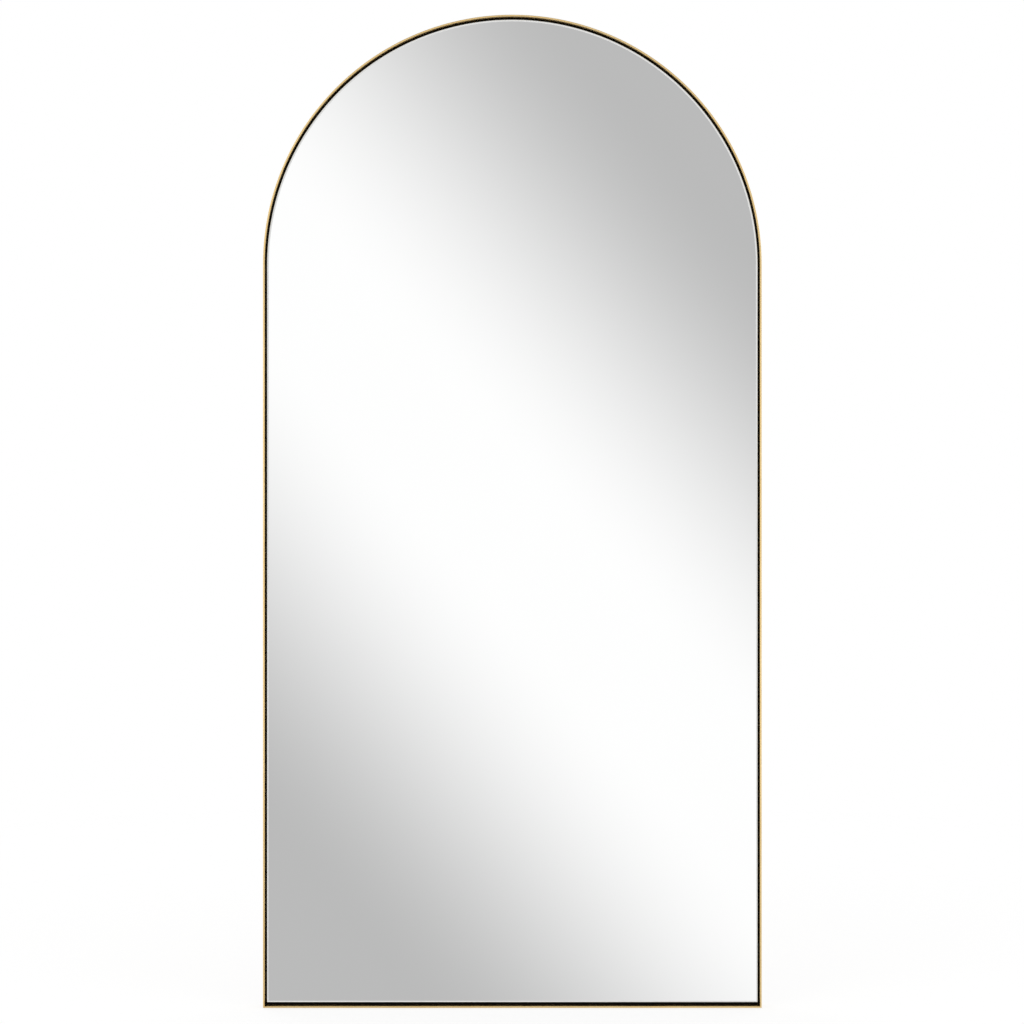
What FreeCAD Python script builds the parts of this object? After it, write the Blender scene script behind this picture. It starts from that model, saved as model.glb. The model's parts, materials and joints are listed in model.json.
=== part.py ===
"""Arched leaning floor mirror, in millimetres.

+Z is up, the glass faces -Y and X runs across the width. The origin is on the
floor, under the middle of the overall width and depth. In this file a depth is
measured backwards from the front plane of the frame, and an inset inwards from
the outside of the frame.
"""
import FreeCAD, Part
import math
import os

# Frame: flat bar on edge, an arched head welded to a three-sided base
frame_width = 918.0           # over the outsides of the two legs
frame_height = 1828.0         # underside of the bottom rail to the crown of the arch
frame_depth = 40.0
bar_thickness = 3.0
bar_edge_ease = 0.8           # flat ground along the bar's two front edges

# Panel: mirror glass, safety film, foam tape and board, from front to back
glass_recess = 14.0           # front of the frame to the face of the glass
reveal_gap = 3.0              # shadow gap between the bar and the panel
foot_gap = 4.5                # the same gap over the bottom rail, where the blocks stand
glass_thickness = 4.0
glass_arris = 0.5
film_thickness = 0.5
film_margin = 2.0             # bare glass left around the film
tape_thickness = 1.0
tape_width = 25.0
tape_count = 5
tape_margin = 40.0            # tape ends to the edge of the board
board_thickness = 9.0

# Ledge: steel strip welded inside the bars, the seat of the board's rim
ledge_width = 30.0
ledge_thickness = 2.0
tack_leg = 3.0
tack_length = 22.0
corner_weld_leg = 3.0
arch_weld_leg = 1.5
weld_end_gap = 1.0            # weld ends to the back edge of the bar

# Rubber blocks that carry the panel on the bottom rail
block_length = 60.0
block_setback = 0.5           # front of a block behind the face of the glass

# Screws, all driven from behind through the ledge into the board
screw_shank_radius = 1.75
screw_shank_sides = 10        # shanks and their holes are drawn with flats
screw_head_radius = 3.5
screw_head_height = 2.0
screw_tip_cover = 2.0         # board left in front of a screw's tip
arch_screws_per_side = 1      # between the springing and an upper wall bumper
bottom_screw_count = 2

# Cross braces: top-hat channels from leg to leg
brace_height = 8.0
brace_crown_width = 24.0
brace_flange_width = 12.0
brace_sheet = 1.2
brace_end_gap = 5.0           # brace end to the bar

# D-ring hangers
hanger_drop = 120.0           # springing of the arch down to the ring's axis
strap_width = 13.0
strap_length = 50.0           # ring's axis to the strap's rounded end
strap_thickness = 1.5
strap_screw_offsets = (28.0, 43.0)
ring_bar_width = 3.5          # square bar, round only where it turns in the eye
ring_running_gap = 0.08       # bar inside the strap's eye, on the radius
ring_lift = 0.25              # bore of the eye above the face of the strap
ring_half_width = 12.0        # to the middle of the bar, like the two sizes below
ring_corner_radius = 3.0
ring_side_length = 3.0

# Stick-on rubber bumpers that meet the wall
bumper_proud = 4.0            # beyond the back of the frame
bumper_radius = 8.0
upper_bumper_angle = 10.0     # degrees to each side of the crown
lower_bumper_height = 68.0    # above the underside of the frame

# Floor pads
pad_thickness = 2.0
pad_length = 60.0
pad_setback = 10.0            # pad to the front and back faces of the bar
pad_corner_gap = 30.0         # pad to the outside of the leg

# ---- derived places -----------------------------------------------------------------
half_width = frame_width / 2
frame_bottom = pad_thickness
spring_z = frame_bottom + frame_height - half_width
front_y = -(frame_depth + bumper_proud) / 2

panel_inset = bar_thickness + reveal_gap
panel_lift = foot_gap - reveal_gap
glass_back = glass_recess + glass_thickness
film_back = glass_back + film_thickness
tape_back = film_back + tape_thickness
board_back = tape_back + board_thickness
ledge_back = board_back + ledge_thickness
ledge_edge = bar_thickness + ledge_width
lane = bar_thickness + ledge_width / 2            # middle of the ledge, where the hardware sits
screw_tip_depth = tape_back + screw_tip_cover

leg_length = spring_z - frame_bottom
brace_z = {"lower": frame_bottom + leg_length / 3, "upper": frame_bottom + leg_length * 2 / 3}
brace_screw_offset = (brace_crown_width + brace_flange_width) / 2
hanger_z = spring_z - hanger_drop
lower_bumper_z = frame_bottom + lower_bumper_height
ring_pin_radius = ring_bar_width / 2
eye_bore_radius = ring_pin_radius + ring_running_gap
eye_height = strap_thickness + ring_lift + eye_bore_radius    # ring's axis above the ledge
block_x = frame_width / 4

SIDES = {"left": -1, "right": 1}
ACROSS = FreeCAD.Vector(1, 0, 0)
BACKWARDS = FreeCAD.Vector(0, 1, 0)
UP = FreeCAD.Vector(0, 0, 1)


# ---- points and stations ------------------------------------------------------------
def at(x, depth, z):
    return FreeCAD.Vector(x, front_y + depth, z)


def on_leg(side, z):
    """Place on the middle of a leg's ledge, as (x, z)."""
    return side * (half_width - lane), z


def on_arch(angle):
    """Place on the middle of the arch's ledge. Angle 0 is the right springing, 90 the crown."""
    radius = half_width - lane
    return radius * math.cos(math.radians(angle)), spring_z + radius * math.sin(math.radians(angle))


def leg_stations():
    """Heights halfway between the lower bumper, the braces and the hanger."""
    marks = [lower_bumper_z, *brace_z.values(), hanger_z]
    return [(low + high) / 2 for low, high in zip(marks, marks[1:])]


def arch_stations():
    """Angles spread evenly up to the wall bumpers on both sides, and one at the crown."""
    step = (90 - upper_bumper_angle) / (arch_screws_per_side + 1)
    right = [step * (i + 1) for i in range(arch_screws_per_side)]
    return right + [90] + [180 - angle for angle in reversed(right)]


def bottom_stations():
    """Places along the bottom ledge, spread evenly between the legs' ledges."""
    span = 2 * (half_width - ledge_edge)
    return [span * ((i + 1) / (bottom_screw_count + 1) - 0.5) for i in range(bottom_screw_count)]


def panel_screw_places():
    legs = [on_leg(side, z) for side in SIDES.values() for z in leg_stations()]
    arch = [on_arch(angle) for angle in arch_stations()]
    return legs + arch + [(x, frame_bottom + lane) for x in bottom_stations()]


def brace_screw_places(level):
    return [on_leg(side, brace_z[level] + offset)
            for side in SIDES.values() for offset in (-brace_screw_offset, brace_screw_offset)]


def hanger_screw_places(side):
    return [on_leg(side, hanger_z - offset) for offset in strap_screw_offsets]


def bumper_places():
    places = {"lower_" + name: on_leg(side, lower_bumper_z) for name, side in SIDES.items()}
    for name, side in SIDES.items():
        places["upper_" + name] = on_arch(90 - side * upper_bumper_angle)
    return places


def all_screw_places():
    places = panel_screw_places()
    for level in brace_z:
        places += brace_screw_places(level)
    for side in SIDES.values():
        places += hanger_screw_places(side)
    return places


# ---- forms used by several pieces ---------------------------------------------------
def polygon_face(points):
    return Part.Face(Part.makePolygon(points + points[:1]))


def block(x_range, depth_range, z_range):
    """Box between two x, two depths and two heights."""
    size = [high - low for low, high in (x_range, depth_range, z_range)]
    return Part.makeBox(*size, at(x_range[0], depth_range[0], z_range[0]))


def arched_plate(inset, front, back, lift=0):
    """Plate with the mirror's outline: square foot, straight sides and a round head."""
    radius = half_width - inset
    foot = frame_bottom + inset + lift
    corners = [at(-radius, front, spring_z), at(-radius, front, foot),
               at(radius, front, foot), at(radius, front, spring_z)]
    sides = Part.makePolygon(corners).Edges
    head = Part.Arc(corners[3], at(0, front, spring_z + radius), corners[0]).toShape()
    face = Part.Face(Part.Wire(sides + [head]))
    return face.extrude(BACKWARDS * (back - front))


def around_arch(section, start=0, sweep=180):
    """Turn a section, drawn as (inset, depth) points, about the arch's centre."""
    face = polygon_face([at(half_width - inset, depth, spring_z) for inset, depth in section])
    centre = at(0, 0, spring_z)
    face.rotate(centre, -BACKWARDS, start)
    return face.revolve(centre, -BACKWARDS, sweep)


def down_leg(section, low, high):
    """Run a section of (inset, depth) points along the right leg between two heights."""
    face = polygon_face([at(half_width - inset, depth, low) for inset, depth in section])
    return face.extrude(UP * (high - low))


def along_bottom(section, left, right):
    """Run a section of (inset, depth) points along the bottom rail between two x."""
    face = polygon_face([at(left, depth, frame_bottom + inset) for inset, depth in section])
    return face.extrude(ACROSS * (right - left))


def mirrored(shape):
    return shape.mirror(FreeCAD.Vector(0, 0, 0), ACROSS)


def screw_shank(x, z, front, back):
    """Rod with flats, the form of both a screw's shank and its hole."""
    turn = 360 / screw_shank_sides
    spoke = ACROSS * screw_shank_radius
    corners = [at(x, front, z) + FreeCAD.Rotation(BACKWARDS, turn * (i + 0.5)).multVec(spoke)
               for i in range(screw_shank_sides)]
    return polygon_face(corners).extrude(BACKWARDS * (back - front))


def screw_holes(front, back, places):
    return Part.makeCompound([screw_shank(x, z, front, back) for x, z in places])


def screws(places, seat):
    """Pan-head screws whose heads bear at the depth of the seat."""
    made = []
    for x, z in places:
        head = Part.makeCylinder(screw_head_radius, screw_head_height, at(x, seat, z), BACKWARDS)
        made.append(head.fuse(screw_shank(x, z, screw_tip_depth, seat)))
    return Part.makeCompound(made)


# ---- frame --------------------------------------------------------------------------
def bar_section():
    """Flat bar on edge with its two front edges eased, as (inset, depth) points."""
    ease, t, d = bar_edge_ease, bar_thickness, frame_depth
    return [(ease, 0), (t - ease, 0), (t, ease), (t, d), (0, d), (0, ease)]


def corner_wedge(keep_leg):
    """Waste beyond the 45 degree mitre at the right foot, on the rail's or the leg's side."""
    t = bar_thickness
    corner = (half_width + t, frame_bottom - t)
    far = (half_width - 2 * t, frame_bottom + 2 * t)
    waste = (far[0], corner[1]) if keep_leg else (corner[0], far[1])
    face = polygon_face([at(x, -t, z) for x, z in (corner, far, waste)])
    return face.extrude(BACKWARDS * (frame_depth + 2 * t))


def frame_leg():
    return down_leg(bar_section(), frame_bottom, spring_z).cut(corner_wedge(keep_leg=True))


def frame_bottom_rail():
    rail = along_bottom(bar_section(), -half_width, half_width)
    wedge = corner_wedge(keep_leg=False)
    return rail.cut(wedge).cut(mirrored(wedge))


def corner_weld():
    """Fillet weld up the inside of the right foot corner, behind the ledge."""
    low, high = ledge_back, frame_depth - weld_end_gap
    x, z, leg = half_width - bar_thickness, frame_bottom + bar_thickness, corner_weld_leg
    face = polygon_face([at(x, low, z), at(x - leg, low, z), at(x, low, z + leg)])
    return face.extrude(BACKWARDS * (high - low))


def arch_weld():
    """Low bead over the inside of the right joint between leg and arch."""
    low, high = ledge_back, frame_depth - weld_end_gap
    x, leg = half_width - bar_thickness, arch_weld_leg
    face = polygon_face([at(x, low, spring_z - leg), at(x, low, spring_z + leg),
                         at(x - leg, low, spring_z)])
    return face.extrude(BACKWARDS * (high - low))


# ---- ledge --------------------------------------------------------------------------
def ledge_section():
    return [(bar_thickness, board_back), (ledge_edge, board_back),
            (ledge_edge, ledge_back), (bar_thickness, ledge_back)]


def drilled_ledge(strip):
    return strip.cut(screw_holes(board_back, ledge_back, all_screw_places()))


def ledge_tack_welds():
    """Short fillet welds behind the ledge, one beside each panel screw."""
    section = [(bar_thickness, ledge_back), (bar_thickness + tack_leg, ledge_back),
               (bar_thickness, ledge_back + tack_leg)]
    half = tack_length / 2
    legs = [down_leg(section, z - half, z + half) for z in leg_stations()]
    sweep = math.degrees(tack_length / (half_width - bar_thickness))
    arch = [around_arch(section, angle - sweep / 2, sweep) for angle in arch_stations()]
    bottom = [along_bottom(section, x - half, x + half) for x in bottom_stations()]
    return Part.makeCompound(legs + [mirrored(leg) for leg in legs] + arch + bottom)


# ---- panel --------------------------------------------------------------------------
def mirror_glass():
    glass = arched_plate(panel_inset, glass_recess, glass_back, panel_lift)
    face_y = at(0, glass_recess, 0).y
    front_edges = [edge for edge in glass.Edges
                   if all(abs(vertex.Y - face_y) < 1e-6 for vertex in edge.Vertexes)]
    return glass.makeChamfer(glass_arris, front_edges)


def foam_tape_strips():
    """Vertical strips of double-sided tape, each as tall as the arch lets it be."""
    radius = half_width - panel_inset - tape_margin
    pitch = 2 * radius / tape_count
    strips = []
    for i in range(tape_count):
        x = (i - (tape_count - 1) / 2) * pitch
        top = spring_z + math.sqrt(radius ** 2 - (abs(x) + tape_width / 2) ** 2)
        strips.append(block((x - tape_width / 2, x + tape_width / 2), (film_back, tape_back),
                            (frame_bottom + panel_inset + panel_lift + tape_margin, top)))
    return Part.makeCompound(strips)


def backing_board():
    board = arched_plate(panel_inset, tape_back, board_back, panel_lift)
    return board.cut(screw_holes(screw_tip_depth, board_back, all_screw_places()))


def setting_block(side):
    middle = side * block_x
    return block((middle - block_length / 2, middle + block_length / 2),
                 (glass_recess + block_setback, board_back),
                 (frame_bottom + bar_thickness, frame_bottom + bar_thickness + foot_gap))


def reveal_gasket():
    """Black foam that fills the shadow gap behind the glass, cut away at the blocks."""
    outer = arched_plate(bar_thickness, glass_back, board_back)
    strip = outer.cut(arched_plate(panel_inset, glass_back, board_back, panel_lift))
    for side in SIDES.values():
        strip = strip.cut(setting_block(side))
    return strip


# ---- braces -------------------------------------------------------------------------
def cross_brace(level):
    """Top-hat channel with open ends, its flanges on the ledges of both legs."""
    z, sheet = brace_z[level], brace_sheet
    crown, foot = brace_crown_width / 2, brace_crown_width / 2 + brace_flange_width
    low, high = ledge_back, ledge_back + brace_height
    half_outline = [(foot, low), (foot, low + sheet), (crown, low + sheet), (crown, high)]
    half_inside = [(crown - sheet, high - sheet), (crown - sheet, low)]
    outline = (half_outline + [(-offset, depth) for offset, depth in reversed(half_outline)]
               + [(-offset, depth) for offset, depth in reversed(half_inside)] + half_inside)
    end = half_width - bar_thickness - brace_end_gap
    channel = polygon_face([at(-end, depth, z + offset) for offset, depth in outline])
    channel = channel.extrude(ACROSS * (2 * end))
    return channel.cut(screw_holes(low, low + sheet, brace_screw_places(level)))


# ---- hangers ------------------------------------------------------------------------
def hanger_plate(side):
    """Strap with a rounded end and two holes, its top rolled into the eye of the ring."""
    x, z = on_leg(side, hanger_z)
    half, end = strap_width / 2, hanger_z - strap_length
    corners = [at(x - half, ledge_back, z), at(x - half, ledge_back, end + half),
               at(x + half, ledge_back, end + half), at(x + half, ledge_back, z)]
    tip = Part.Arc(corners[1], at(x, ledge_back, end), corners[2]).toShape()
    outline = Part.Wire([Part.makeLine(corners[0], corners[1]), tip,
                         Part.makeLine(corners[2], corners[3]), Part.makeLine(corners[3], corners[0])])
    strap = Part.Face(outline).extrude(BACKWARDS * strap_thickness)
    strap = strap.cut(screw_holes(ledge_back, ledge_back + strap_thickness, hanger_screw_places(side)))
    eye_start = at(x - half, ledge_back + eye_height, z)
    roll = Part.makeCylinder(eye_bore_radius + strap_thickness, strap_width, eye_start, ACROSS)
    bore = Part.makeCylinder(eye_bore_radius, strap_width, eye_start, ACROSS)
    return strap.fuse(roll).cut(bore).removeSplitter()


def d_outline(side, offset):
    """D shape hanging from the ring's axis, offset outwards from the middle of the bar."""
    x, z = on_leg(side, hanger_z)
    depth = ledge_back + eye_height - ring_pin_radius
    half, elbow = ring_half_width + offset, ring_corner_radius + offset
    top, elbow_z = z + offset, z - ring_corner_radius
    foot = elbow_z - ring_side_length
    slant = elbow * math.sqrt(0.5)
    flat = half - elbow
    edges = [Part.makeLine(at(x - flat, depth, top), at(x + flat, depth, top)),
             Part.makeLine(at(x + half, depth, elbow_z), at(x + half, depth, foot)),
             Part.Arc(at(x + half, depth, foot), at(x, depth, foot - half),
                      at(x - half, depth, foot)).toShape(),
             Part.makeLine(at(x - half, depth, foot), at(x - half, depth, elbow_z))]
    for turn in SIDES.values():
        edges.append(Part.Arc(at(x + turn * flat, depth, top),
                              at(x + turn * (flat + slant), depth, elbow_z + slant),
                              at(x + turn * half, depth, elbow_z)).toShape())
    return Part.Face(Part.Wire(Part.__sortEdges__(edges)))


def d_ring(side):
    """Square bar bent to a D, with a round pin across the eye."""
    x, z = on_leg(side, hanger_z)
    depth = ledge_back + eye_height
    r, straight = ring_pin_radius, ring_half_width - ring_corner_radius
    loop = d_outline(side, r).cut(d_outline(side, -r)).extrude(BACKWARDS * ring_bar_width)
    loop = loop.cut(block((x - straight, x + straight), (depth - r, depth + r), (z - r, z + r)))
    pin = Part.makeCylinder(r, 2 * straight, at(x - straight, depth, z), ACROSS)
    return loop.fuse(pin)


# ---- bumpers and pads ---------------------------------------------------------------
def wall_bumper(x, z):
    height = frame_depth + bumper_proud - ledge_back
    return Part.makeCylinder(bumper_radius, height, at(x, ledge_back, z), BACKWARDS)


def floor_pad(side):
    outer = side * (half_width - pad_corner_gap)
    inner = outer - side * pad_length
    return block(sorted((inner, outer)), (pad_setback, frame_depth - pad_setback), (0, pad_thickness))


# ---- all pieces ---------------------------------------------------------------------
def build():
    leg, weld, bead = frame_leg(), corner_weld(), arch_weld()
    side_strip = down_leg(ledge_section(), frame_bottom + bar_thickness, spring_z)
    ledge_gap = half_width - ledge_edge
    hanger_screws = [place for side in SIDES.values() for place in hanger_screw_places(side)]
    brace_screws = [place for level in brace_z for place in brace_screw_places(level)]
    nodes = {
        "frame_arch": around_arch(bar_section()),
        "frame_leg_left": mirrored(leg),
        "frame_leg_right": leg,
        "frame_bottom_rail": frame_bottom_rail(),
        "corner_welds": Part.makeCompound([mirrored(weld), weld]),
        "arch_welds": Part.makeCompound([mirrored(bead), bead]),
        "ledge_arch": drilled_ledge(around_arch(ledge_section())),
        "ledge_left": drilled_ledge(mirrored(side_strip)),
        "ledge_right": drilled_ledge(side_strip),
        "ledge_bottom": drilled_ledge(along_bottom(ledge_section(), -ledge_gap, ledge_gap)),
        "ledge_tack_welds": ledge_tack_welds(),
        "mirror_glass": mirror_glass(),
        "safety_film": arched_plate(panel_inset + film_margin, glass_back, film_back, panel_lift),
        "foam_tape_strips": foam_tape_strips(),
        "backing_board": backing_board(),
        "reveal_gasket": reveal_gasket(),
        "panel_screws": screws(panel_screw_places(), ledge_back),
        "brace_screws": screws(brace_screws, ledge_back + brace_sheet),
        "hanger_screws": screws(hanger_screws, ledge_back + strap_thickness),
    }
    for level in brace_z:
        nodes["cross_brace_" + level] = cross_brace(level)
    for name, place in bumper_places().items():
        nodes["wall_bumper_" + name] = wall_bumper(*place)
    for name, side in SIDES.items():
        nodes["setting_block_" + name] = setting_block(side)
        nodes["hanger_plate_" + name] = hanger_plate(side)
        nodes["d_ring_" + name] = d_ring(side)
        nodes["floor_pad_" + name] = floor_pad(side)
    return nodes


os.makedirs("parts", exist_ok=True)
for node_name, node_shape in build().items():
    node_shape.exportStep("parts/" + node_name + ".step")
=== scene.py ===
# %% [markdown]
# # A leaning floor mirror, dressed for the camera
#
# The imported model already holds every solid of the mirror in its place. What it lacks is what
# the eye enjoys: a head that is truly round, a rim of glass that catches the light, satin
# brass, rolled steel and rubber. This lesson builds those surfaces over the solids, piece by
# piece, from the front of the mirror to its back. Everything is in metres, +Z is up, and the
# glass faces -Y.

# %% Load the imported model
import json
from math import atan2, hypot, pi, radians

import bmesh
import bpy
from mathutils import Matrix, Vector

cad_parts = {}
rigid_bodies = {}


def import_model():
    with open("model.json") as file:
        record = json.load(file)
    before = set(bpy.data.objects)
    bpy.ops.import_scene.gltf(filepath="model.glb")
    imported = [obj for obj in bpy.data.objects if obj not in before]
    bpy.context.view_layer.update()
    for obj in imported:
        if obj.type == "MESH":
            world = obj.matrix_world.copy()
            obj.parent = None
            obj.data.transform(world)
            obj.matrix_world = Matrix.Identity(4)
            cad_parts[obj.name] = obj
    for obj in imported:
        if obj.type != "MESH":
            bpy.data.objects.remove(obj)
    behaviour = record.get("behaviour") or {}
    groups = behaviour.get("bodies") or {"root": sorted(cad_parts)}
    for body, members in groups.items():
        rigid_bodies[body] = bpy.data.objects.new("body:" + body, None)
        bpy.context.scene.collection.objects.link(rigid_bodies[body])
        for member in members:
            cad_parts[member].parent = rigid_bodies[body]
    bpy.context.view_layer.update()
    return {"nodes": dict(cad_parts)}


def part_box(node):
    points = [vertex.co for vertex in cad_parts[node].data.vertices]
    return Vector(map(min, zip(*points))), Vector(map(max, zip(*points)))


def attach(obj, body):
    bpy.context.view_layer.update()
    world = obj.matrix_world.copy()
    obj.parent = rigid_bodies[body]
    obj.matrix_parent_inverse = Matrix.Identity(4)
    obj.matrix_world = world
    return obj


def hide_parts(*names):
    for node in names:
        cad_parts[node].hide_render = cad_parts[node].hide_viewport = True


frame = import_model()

# %% [markdown]
# ## Measure before modelling
#
# A maker holds a new piece against the work. A length that runs round the frame is kept as an
# inset from the outside of the bar, and a depth as a plain Y.

# %% Lengths read from the solids
half_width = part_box("frame_arch")[1].x
spring_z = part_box("frame_arch")[0].z
front_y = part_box("frame_arch")[0].y
back_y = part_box("frame_arch")[1].y
foot_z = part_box("frame_bottom_rail")[0].z
bar = half_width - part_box("frame_leg_right")[0].x
glass_front, glass_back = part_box("mirror_glass")[0].y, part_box("mirror_glass")[1].y
panel_inset = half_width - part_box("mirror_glass")[1].x
panel_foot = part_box("mirror_glass")[0].z - foot_z
board_front, board_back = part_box("backing_board")[0].y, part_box("backing_board")[1].y
ledge_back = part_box("ledge_right")[1].y
ledge_inset = half_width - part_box("ledge_right")[0].x
print("bar", round(bar * 1000, 2), "mm, panel", round(panel_inset * 1000, 2), "mm in and",
      round(panel_foot * 1000, 2), "mm up")
print("glass from", round(glass_front, 4), "to", round(glass_back, 4), "springing", round(spring_z, 4))

# %% [markdown]
# ## Moves that every piece shares
#
# Nearly all of this mirror is a small section run along the same path: over the arch, down the
# legs and across the foot. So three moves do most of the work. A section is drawn as one face
# and its corners are rounded by the bevel operator. The face is then pulled in a straight line
# with extrude, or swept round an axis with spin. Modelling one outline and scaling it for each
# strip would be quicker, but the strips would not stay equally wide round the head. A Weighted
# Normal modifier finishes each piece: it lets the large faces set the shading, so that flat bar
# looks flat beside its rounded edges, where plain smooth shading makes it look like a pillow.

# %% Draw, pull and sweep a face
def face_from(bm, corners, roundings=()):
    """One flat face through a few corners, each rounded by its own radius with the bevel operator."""
    before = set(bm.faces)
    verts = [bm.verts.new(corner) for corner in corners]
    bm.faces.new(verts)
    for radius in sorted(set(roundings) - {0}):
        alike = [vert for vert, own in zip(verts, roundings) if own == radius]
        bmesh.ops.bevel(bm, geom=alike, offset=radius, segments=4, profile=0.5, affect="VERTICES",
                        material=-1)
    return [face for face in bm.faces if face not in before][0]


def pull(bm, face, move=(0, 0, 0)):
    """Extrude a face in a straight line and give back its new end."""
    made = bmesh.ops.extrude_face_region(bm, geom=[face])["geom"]
    end = [item for item in made if isinstance(item, bmesh.types.BMFace)][0]
    bmesh.ops.translate(bm, vec=move, verts=list(end.verts))
    return end


def sweep(bm, face, centre, axis, angle, steps):
    """Turn a face about an axis with the spin operator and give back its new end."""
    made = bmesh.ops.spin(bm, geom=[face], cent=centre, axis=axis, angle=angle, steps=steps,
                          use_duplicate=False)["geom_last"]
    return [item for item in made if isinstance(item, bmesh.types.BMFace)][0]


# %% Turn a finished bmesh into a piece of the mirror
def in_scene(name, data):
    """A new object in the scene that shows a mesh, a lamp or a camera."""
    made = bpy.data.objects.new(name, data)
    bpy.context.scene.collection.objects.link(made)
    return made


def piece(name, bm, finishes, nodes=(), body="mirror", crease=35):
    """Close and orient a mesh, shade it, and let it ride on its body in place of its solids."""
    bmesh.ops.remove_doubles(bm, verts=bm.verts, dist=1e-6)
    bmesh.ops.recalc_face_normals(bm, faces=bm.faces)
    mesh = bpy.data.meshes.new(name)
    bm.to_mesh(mesh)
    bm.free()
    mesh.shade_smooth()
    mesh.set_sharp_from_angle(angle=radians(crease))
    for finish in finishes:
        mesh.materials.append(finish)
    made = in_scene(name, mesh)
    made.modifiers.new("flat_stays_flat", "WEIGHTED_NORMAL").keep_sharp = True
    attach(made, body)
    if nodes:
        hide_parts(*nodes)
    print(name, "has", len(mesh.polygons), "faces")
    return made


# %% [markdown]
# ## Effects that several finishes share
#
# Real finishes are never one colour. Brushing leaves fine lines, plating and paint drift a
# little in tone, coatings have a grit of their own, and dust settles on what faces up. Each
# effect is built once as a node group with named sockets, and every material below places it
# with its own values. A group gives out only colours, masks and heights, and the shader itself
# stays in the material, because an exported model can only be read that way.

# %% Short ways to make groups and nodes
def effect(name, inputs, outputs):
    """A shader node group with named sockets, with its input and output nodes."""
    tree = bpy.data.node_groups.new(name, "ShaderNodeTree")
    for label, kind, default in inputs:
        socket = tree.interface.new_socket(label, in_out="INPUT", socket_type="NodeSocket" + kind)
        if default is not None:
            socket.default_value = default
    for label, kind in outputs:
        tree.interface.new_socket(label, in_out="OUTPUT", socket_type="NodeSocket" + kind)
    return tree, tree.nodes.new("NodeGroupInput").outputs, tree.nodes.new("NodeGroupOutput").inputs


def add(tree, kind, values, **settings):
    """A node with its settings, its inputs set to values or linked to other nodes' sockets."""
    node = tree.nodes.new(kind)
    for key, value in settings.items():
        setattr(node, key, value)
    for socket, value in values.items():
        if isinstance(value, bpy.types.NodeSocket):
            tree.links.new(value, node.inputs[socket])
        else:
            node.inputs[socket].default_value = value
    return node


def grey(level):
    """A grey as a colour socket takes it."""
    return (level, level, level, 1)


def reckon(tree, operation, *values):
    """The output of a Math node."""
    return add(tree, "ShaderNodeMath", dict(enumerate(values)), operation=operation).outputs[0]


def mix_colours(tree, factor, low, high, blend="MIX"):
    """The colour output of a Mix node between two colours."""
    node = add(tree, "ShaderNodeMix", {}, data_type="RGBA", blend_type=blend)
    for index, value in ((0, factor), (6, low), (7, high)):
        if isinstance(value, bpy.types.NodeSocket):
            tree.links.new(value, node.inputs[index])
        else:
            node.inputs[index].default_value = value
    return node.outputs[2]


def spread(tree, value, low, high, to_low, to_high, run="LINEAR"):
    """A value spread from one range to another and held inside it."""
    return add(tree, "ShaderNodeMapRange", {
        "Value": value, "From Min": low, "From Max": high, "To Min": to_low, "To Max": to_high,
    }, interpolation_type=run).outputs["Result"]


# %% Brushed lines: noise drawn out along one axis
lines_tree, lines_in, lines_out = effect(
    "brushed_lines",
    [("Vector", "Vector", None), ("Along", "Float", 20.0), ("Across", "Float", 4000.0)],
    [("Lines", "Float")])
lines_pitch = add(lines_tree, "ShaderNodeCombineXYZ", {
    "X": lines_in["Along"], "Y": lines_in["Across"], "Z": lines_in["Across"]})
lines_place = add(lines_tree, "ShaderNodeVectorMath", {
    0: lines_in["Vector"], 1: lines_pitch.outputs[0]}, operation="MULTIPLY")
lines_noise = add(lines_tree, "ShaderNodeTexNoise", {
    "Vector": lines_place.outputs[0], "Scale": 1.0, "Detail": 3.0, "Roughness": 0.6})
lines_tree.links.new(spread(lines_tree, lines_noise.outputs[0], 0.3, 0.7, 0, 1), lines_out["Lines"])

# %% Drifting tone: two near colours that wander into each other
tone_tree, tone_in, tone_out = effect(
    "drifting_tone",
    [("Vector", "Vector", None), ("Scale", "Float", 8.0),
     ("Deep", "Color", (0.4, 0.4, 0.4, 1)), ("Pale", "Color", (0.6, 0.6, 0.6, 1))],
    [("Color", "Color"), ("Drift", "Float")])
tone_noise = add(tone_tree, "ShaderNodeTexNoise", {
    "Vector": tone_in["Vector"], "Scale": tone_in["Scale"], "Detail": 5.0, "Roughness": 0.58})
tone_drift = spread(tone_tree, tone_noise.outputs[0], 0.32, 0.68, 0, 1)
tone_tree.links.new(mix_colours(tone_tree, tone_drift, tone_in["Deep"], tone_in["Pale"]),
                    tone_out["Color"])
tone_tree.links.new(tone_drift, tone_out["Drift"])

# %% Coating grit: the fine orange peel of a coating, or the bite of a moulded face
grit_tree, grit_in, grit_out = effect(
    "coating_grit", [("Vector", "Vector", None), ("Scale", "Float", 1500.0)], [("Height", "Float")])
grit_noise = add(grit_tree, "ShaderNodeTexNoise", {
    "Vector": grit_in["Vector"], "Scale": grit_in["Scale"], "Detail": 2.0, "Roughness": 0.5})
grit_tree.links.new(grit_noise.outputs[0], grit_out["Height"])

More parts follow.
